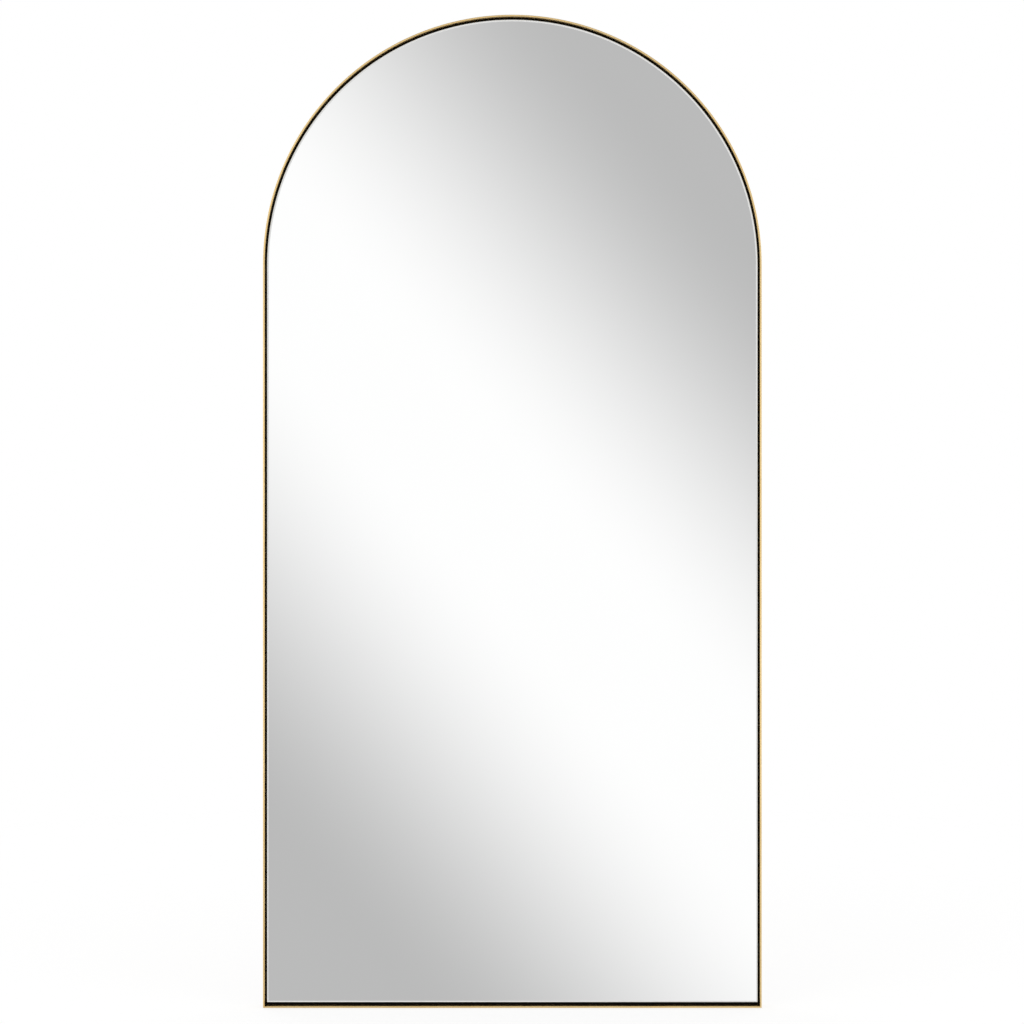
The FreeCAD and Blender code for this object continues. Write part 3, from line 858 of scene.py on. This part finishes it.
def lay_bead(bm, face, corner, step, count):
    """Extrude a bead's end again and again, drawing every other ring in towards its corner."""
    for ring in range(count):
        face = pull(bm, face)
        corner = step @ corner
        factor = pinch if ring % 2 == 0 else 1 / pinch
        if ring == count - 1:
            factor = last_pinch
        bmesh.ops.transform(bm, matrix=step, verts=list(face.verts))
        bmesh.ops.scale(bm, vec=(factor, factor, factor), space=Matrix.Translation(-corner),
                        verts=list(face.verts))
    return face


def around_head(angle):
    """The turn about the arch's centre that carries the right springing by an angle."""
    centre = Vector((0, 0, spring_z))
    return (Matrix.Translation(centre) @ Matrix.Rotation(-angle, 4, "Y") @ Matrix.Translation(-centre))


# %% Tack welds beside the panel screws
inner = half_width - bar
length, pitch = 0.022, 0.0010
tack_steps = round(length / pitch)
fillet_radius, seam_radius = 0.0029, 0.0014
bm = bmesh.new()
for place in screw_heads("panel_screws"):
    if place.z > spring_z + 0.01:
        angle = atan2(place.z - spring_z, place.x) - length / 2 / inner
        corner = Vector((inner, ledge_back, spring_z))
        before = set(bm.verts)
        wedge = wedge_of_disc(bm, corner, fillet_radius, Matrix.Identity(3), [(-1, 0, 0), (0, 1, 0)])
        new = [vert for vert in bm.verts if vert not in before]
        bmesh.ops.transform(bm, matrix=around_head(angle), verts=new)
        lay_bead(bm, wedge, around_head(angle) @ corner, around_head(pitch / inner), tack_steps)
    elif place.z < foot_z + ledge_inset:
        corner = Vector((place.x - length / 2, ledge_back, foot_z + bar))
        turn = Matrix.Rotation(pi / 2, 3, "Y")
        wedge = wedge_of_disc(bm, corner, fillet_radius, turn, [(0, 0, 1), (0, 1, 0)])
        lay_bead(bm, wedge, corner, Matrix.Translation((pitch, 0, 0)), tack_steps)
    else:
        side = 1 if place.x > 0 else -1
        corner = Vector((side * inner, ledge_back, place.z - length / 2))
        wedge = wedge_of_disc(bm, corner, fillet_radius, Matrix.Identity(3), [(-side, 0, 0), (0, 1, 0)])
        lay_bead(bm, wedge, corner, Matrix.Translation((0, 0, pitch)), tack_steps)
piece("tack_beads", bm, [heat_bead], ["ledge_tack_welds"], crease=50)

# %% Beads in the foot corners and over the arch joints
bead_low, bead_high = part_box("corner_welds")
depth_turn = Matrix.Rotation(pi / 2, 3, "X")
steps = round((bead_high.y - bead_low.y) / pitch)
stride = Matrix.Translation((0, (bead_high.y - bead_low.y) / steps, 0))
bm = bmesh.new()
for side in (-1, 1):
    corner = Vector((side * inner, bead_low.y, foot_z + bar))
    wedge = wedge_of_disc(bm, corner, fillet_radius, depth_turn, [(-side, 0, 0), (0, 0, 1)])
    lay_bead(bm, wedge, corner, stride, steps)
piece("corner_beads", bm, [heat_bead], ["corner_welds"], crease=50)
bm = bmesh.new()
for side in (-1, 1):
    corner = Vector((side * inner, bead_low.y, spring_z))
    wedge = wedge_of_disc(bm, corner, seam_radius, depth_turn, [(-side, 0, 0)])
    lay_bead(bm, wedge, corner, stride, steps)
piece("arch_joint_beads", bm, [heat_bead], ["arch_welds"], crease=50)

# %% [markdown]
# ## The wall bumpers
#
# A bumper is a rubber plug that meets the wall. It is moulded, so it tapers a little, its rim
# is soft, and its face has a shallow dish where it was trimmed.

# %% The four bumpers
bumper_taper, bumper_rim = 0.92, 0.0016
dish_inset, dish_depth = 0.0022, 0.0005
for name in ("upper_left", "upper_right", "lower_left", "lower_right"):
    low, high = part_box("wall_bumper_" + name)
    bm = bmesh.new()
    bmesh.ops.create_circle(bm, cap_ends=True, radius=(high.x - low.x) / 2, segments=48)
    bmesh.ops.rotate(bm, cent=(0, 0, 0), matrix=Matrix.Rotation(-pi / 2, 3, "X"), verts=bm.verts)
    bmesh.ops.translate(bm, vec=((low.x + high.x) / 2, low.y, (low.z + high.z) / 2), verts=bm.verts)
    bm.faces.ensure_lookup_table()
    top = pull(bm, bm.faces[0], (0, high.y - low.y, 0))
    centre = top.calc_center_median()
    bmesh.ops.scale(bm, vec=(bumper_taper, 1, bumper_taper), space=Matrix.Translation(-centre),
                    verts=list(top.verts))
    bmesh.ops.bevel(bm, geom=list(top.edges), offset=bumper_rim, segments=4, profile=0.5, affect="EDGES",
                    material=-1)
    wide_faces = [face for face in bm.faces if len(face.verts) > 8]
    face = max(wide_faces, key=lambda face: face.calc_center_median().y)
    bmesh.ops.inset_region(bm, faces=[face], thickness=dish_inset, depth=0.0)
    bmesh.ops.inset_region(bm, faces=[face], thickness=dish_depth, depth=-dish_depth)
    piece("bumper_" + name, bm, [moulded_rubber], ["wall_bumper_" + name])

# %% [markdown]
# ## The studio
#
# The photograph is a plain catalogue shot: straight on, from about four metres, on white. In the
# mirror there is only the studio itself, a soft band of white that falls off to grey towards two
# corners. Here the world draws that band, by direction and for reflections alone. Further round
# comes a second soft fall of light, so that the glass still reads as a mirror from the side, and
# a dimmer ceiling and floor give the brass its darker edges. The floor itself is left out of
# reflections, as a long white sweep would be, and near the mirror it keeps a shadow.
#
# A direction's place in the band is a slope: how far it goes sideways and up for one metre
# straight ahead. The band leans, so the way up counts a little less than the way sideways.

# %% The world: white behind, and the studio's soft band in reflections
band_lean = 0.863
band_shift = 0.0092
band_grey = 0.497
least_straight = 0.05
world = bpy.data.worlds.new("catalogue_studio")
bpy.context.scene.world = world
world.use_nodes = True
tree = world.node_tree
tree.nodes.clear()
toward = add(tree, "ShaderNodeSeparateXYZ", {0: tree.nodes.new("ShaderNodeTexCoord").outputs["Generated"]})
straight = reckon(tree, "MAXIMUM", reckon(tree, "MULTIPLY", toward.outputs["Y"], -1.0), least_straight)
leant = reckon(tree, "MULTIPLY_ADD", toward.outputs["Z"], band_lean, toward.outputs["X"])
slope = reckon(tree, "DIVIDE", leant, straight)
aside = reckon(tree, "ABSOLUTE", reckon(tree, "ADD", slope, band_shift))
rays = tree.nodes.new("ShaderNodeLightPath").outputs
ahead = reckon(tree, "LESS_THAN", toward.outputs["Y"], 0.0)
dimming = spread(tree, aside, 0.030, 0.230, 1.0, band_grey, "SMOOTHSTEP")
clearing = spread(tree, aside, 0.294, 0.451, 0.0, 1.0 - band_grey, "SMOOTHSTEP")
band = reckon(tree, "ADD", dimming, clearing)
falling = spread(tree, aside, 0.552, 1.058, 1.0, 0.58)
rising = spread(tree, aside, 1.242, 2.392, 0.0, 0.36)
banded = mix_colours(tree, 1.0, band, reckon(tree, "ADD", falling, rising), "MULTIPLY")
around = mix_colours(tree, ahead, grey(0.94), banded)
not_floor = spread(tree, toward.outputs["Z"], -0.9, -0.45, 0, 1)
not_ceiling = spread(tree, toward.outputs["Z"], 0.95, 0.30, 0, 1)
under_ceiling = mix_colours(tree, not_ceiling, grey(0.42), around)
reflected = mix_colours(tree, not_floor, grey(0.38), under_ceiling)
soft = mix_colours(tree, rays["Is Glossy Ray"], grey(0.66), reflected)
clear = reckon(tree, "MAXIMUM", rays["Is Camera Ray"], rays["Is Transmission Ray"])
seen = mix_colours(tree, clear, soft, grey(1))
sky = add(tree, "ShaderNodeBackground", {"Color": seen, "Strength": 1.0})
tree.links.new(sky.outputs[0], tree.nodes.new("ShaderNodeOutputWorld").inputs[0])

# %% The floor: white, with a soft shadow near the mirror
bm = bmesh.new()
bmesh.ops.create_circle(bm, cap_ends=True, radius=5.0, segments=64)
floor_mesh = bpy.data.meshes.new("studio_floor")
bm.to_mesh(floor_mesh)
bm.free()
floor = in_scene("studio_floor", floor_mesh)
floor_white = bpy.data.materials.new("floor_white")
floor_mesh.materials.append(floor_white)
floor_white.use_nodes = True
tree = floor_white.node_tree
tree.nodes.clear()
rays = tree.nodes.new("ShaderNodeLightPath").outputs
clear = reckon(tree, "MAXIMUM", rays["Is Camera Ray"], rays["Is Transmission Ray"])
paint = mix_colours(tree, clear, grey(0.80), grey(0.20))
matt = add(tree, "ShaderNodeBsdfDiffuse", {"Color": paint})
shine = mix_colours(tree, clear, grey(0), grey(0.83))
glow = add(tree, "ShaderNodeEmission", {"Color": shine})
lit = add(tree, "ShaderNodeAddShader", {0: matt.outputs[0], 1: glow.outputs[0]})
spot = tree.nodes.new("ShaderNodeTexCoord").outputs["Object"]
away = add(tree, "ShaderNodeVectorMath", {0: spot}, operation="LENGTH").outputs["Value"]
faded = reckon(tree, "MULTIPLY", spread(tree, away, 1.2, 2.8, 0, 1), clear)
gone = reckon(tree, "MAXIMUM", faded, rays["Is Glossy Ray"])
hole = tree.nodes.new("ShaderNodeBsdfTransparent")
both = add(tree, "ShaderNodeMixShader", {0: gone, 1: lit.outputs[0], 2: hole.outputs[0]})
tree.links.new(both.outputs[0], tree.nodes.new("ShaderNodeOutputMaterial").inputs[0])

# %% [markdown]
# ## Lamps and camera
#
# Large soft lamps stand high to both sides, in front and behind, so that every side has shape
# and no side is dark. The two in front are kept out of reflections, where their hard edges would
# cut the soft band. Their light is plain: a matt grey comes out about as grey as it is written.
# A fifth lamp, wide and weak, stands at the camera and lights the brass alone, by light linking:
# it makes the satin bar brightest halfway up, as in the photograph, and the glass can't show it.
# The camera stands four metres away at the height of the mirror's middle. Its lens is chosen so
# that one metre on the front of the frame is 543.4 pixels of a picture 1024 pixels wide.

# %% Soft lamps
def soft_lamp(name, spot, size, watts, aim):
    """A square lamp that looks from one spot to another."""
    lamp = bpy.data.lights.new(name, "AREA")
    lamp.size = size
    lamp.energy = watts
    stand = in_scene(name, lamp)
    stand.location = spot
    stand.rotation_euler = (Vector(aim) - Vector(spot)).to_track_quat("-Z", "Y").to_euler()
    return stand


for name, spot, size, watts in (
        ("key_lamp", (-2.6, -3.0, 3.4), 2.2, 26), ("fill_lamp", (2.8, -2.6, 2.8), 2.4, 18),
        ("back_lamp_left", (-2.4, 2.8, 3.2), 2.2, 24), ("back_lamp_right", (2.6, 2.4, 2.6), 2.2, 16)):
    stand = soft_lamp(name, spot, size, watts, (0, 0, 0.95))
    stand.visible_glossy = spot[1] > 0

# %% A wide, weak lamp for the brass alone
camera_distance = 4.0
brass_alone = bpy.data.collections.new("brass_alone")
for brass in [made for made in bpy.data.objects if made.name.startswith("brass_")]:
    brass_alone.objects.link(brass)
glint = soft_lamp("brass_glint", (0, front_y - camera_distance, 0.75), 2.0, 8, (0, front_y, 0.75))
glint.light_linking.receiver_collection = brass_alone

# %% Camera
pixels_per_metre = 543.4
off_centre_x, off_centre_z = -0.0006, -0.0013
picture_width_m = 1024 / pixels_per_metre
lens = bpy.data.cameras.new("catalogue_camera")
lens.sensor_width = 36.0
lens.lens = lens.sensor_width * camera_distance / picture_width_m
camera = in_scene("catalogue_camera", lens)
middle_z = (foot_z + spring_z + half_width) / 2
camera.location = (off_centre_x, front_y - camera_distance, middle_z + off_centre_z)
camera.rotation_euler = (pi / 2, 0, 0)
bpy.context.scene.camera = camera
bpy.context.scene.view_settings.view_transform = "Standard"
print("lens", round(lens.lens, 2), "mm at", camera.location[:])
